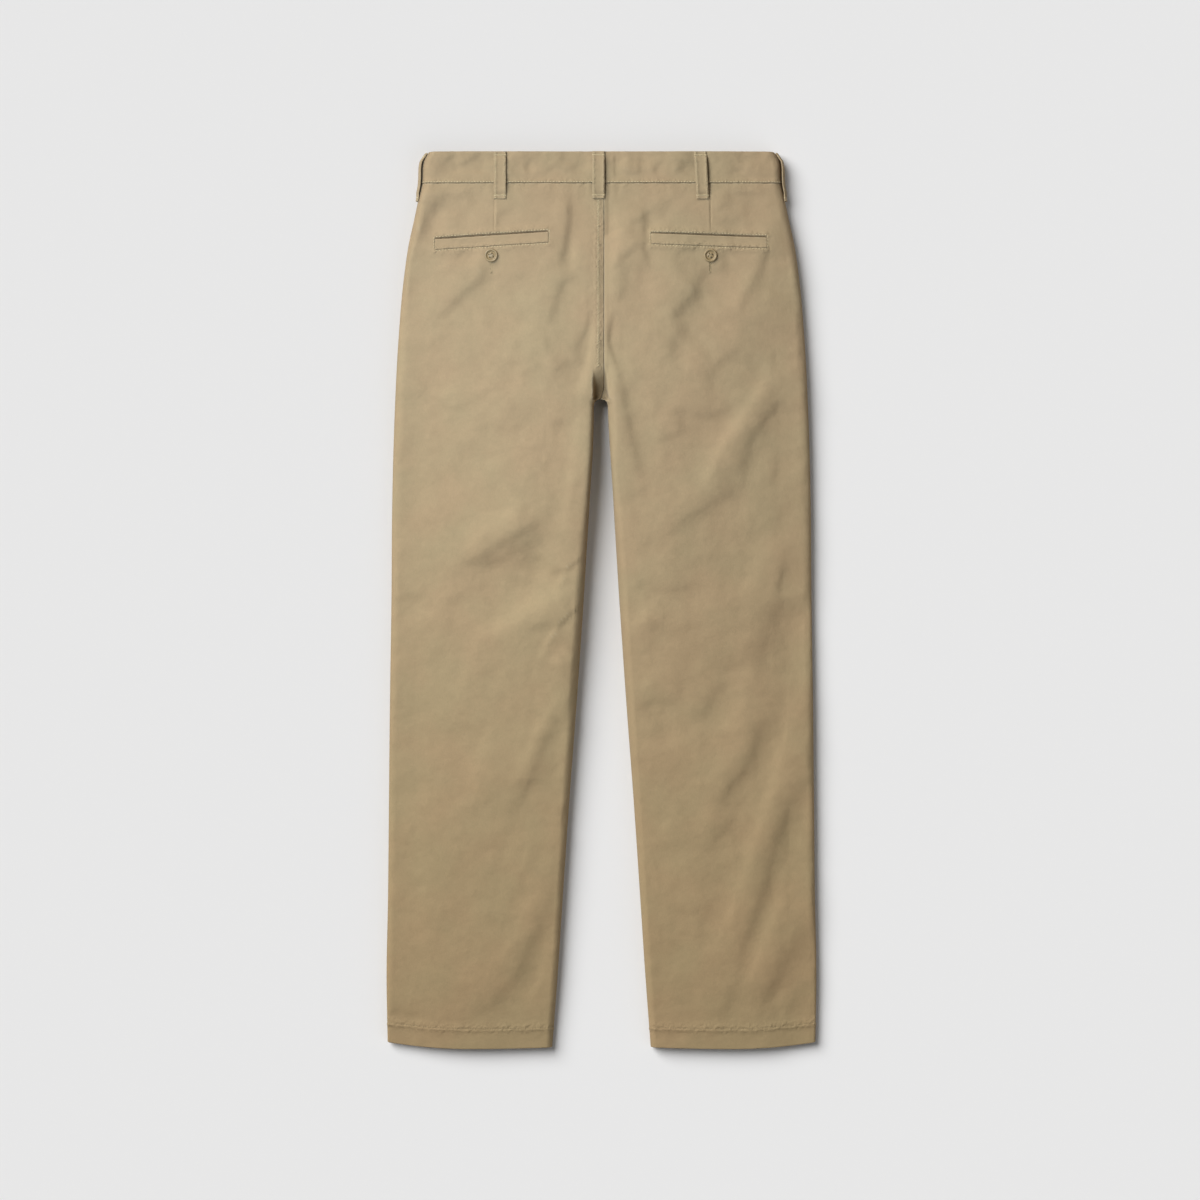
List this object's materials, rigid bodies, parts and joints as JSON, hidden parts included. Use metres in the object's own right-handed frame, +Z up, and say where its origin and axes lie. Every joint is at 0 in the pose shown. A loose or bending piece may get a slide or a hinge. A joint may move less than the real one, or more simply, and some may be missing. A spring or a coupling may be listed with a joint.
{
  "type": "work trousers",
  "caption": "Long khaki twill work trousers laid flat with the back up: straight hollow legs, belt loops, buttoned welt pockets and turned-up hems.",
  "frame": {"origin": "on the surface that the trousers lie on, under the middle of their outline", "axes": "+X to the wearer's right, +Y from the hems to the waist, +Z up from the surface, out of the seat"},
  "size_m": [0.5168, 1.078, 0.0362],
  "materials": {
    "khaki_twill": "matt cotton twill, garment washed",
    "khaki_twill_band": "the same twill, doubled and pressed, with stitched edges",
    "khaki_button_resin": "turned resin, dyed to match, satin"
  },
  "bodies": {
    "root": {"back_left": "khaki_twill", "back_right": "khaki_twill", "belt_loop_back_left": "khaki_twill_band", "belt_loop_back_right": "khaki_twill_band", "belt_loop_centre_back": "khaki_twill_band", "belt_loop_front_left": "khaki_twill_band", "belt_loop_front_right": "khaki_twill_band", "belt_loop_side_left": "khaki_twill_band", "belt_loop_side_right": "khaki_twill_band", "front_left": "khaki_twill", "front_right": "khaki_twill", "pocket_button_left": "khaki_button_resin", "pocket_button_right": "khaki_button_resin", "pocket_welt_left": "khaki_twill_band", "pocket_welt_right": "khaki_twill_band", "waist_button": "khaki_button_resin", "waistband_left": "khaki_twill_band", "waistband_right": "khaki_twill_band"}
  },
  "joints": []
}
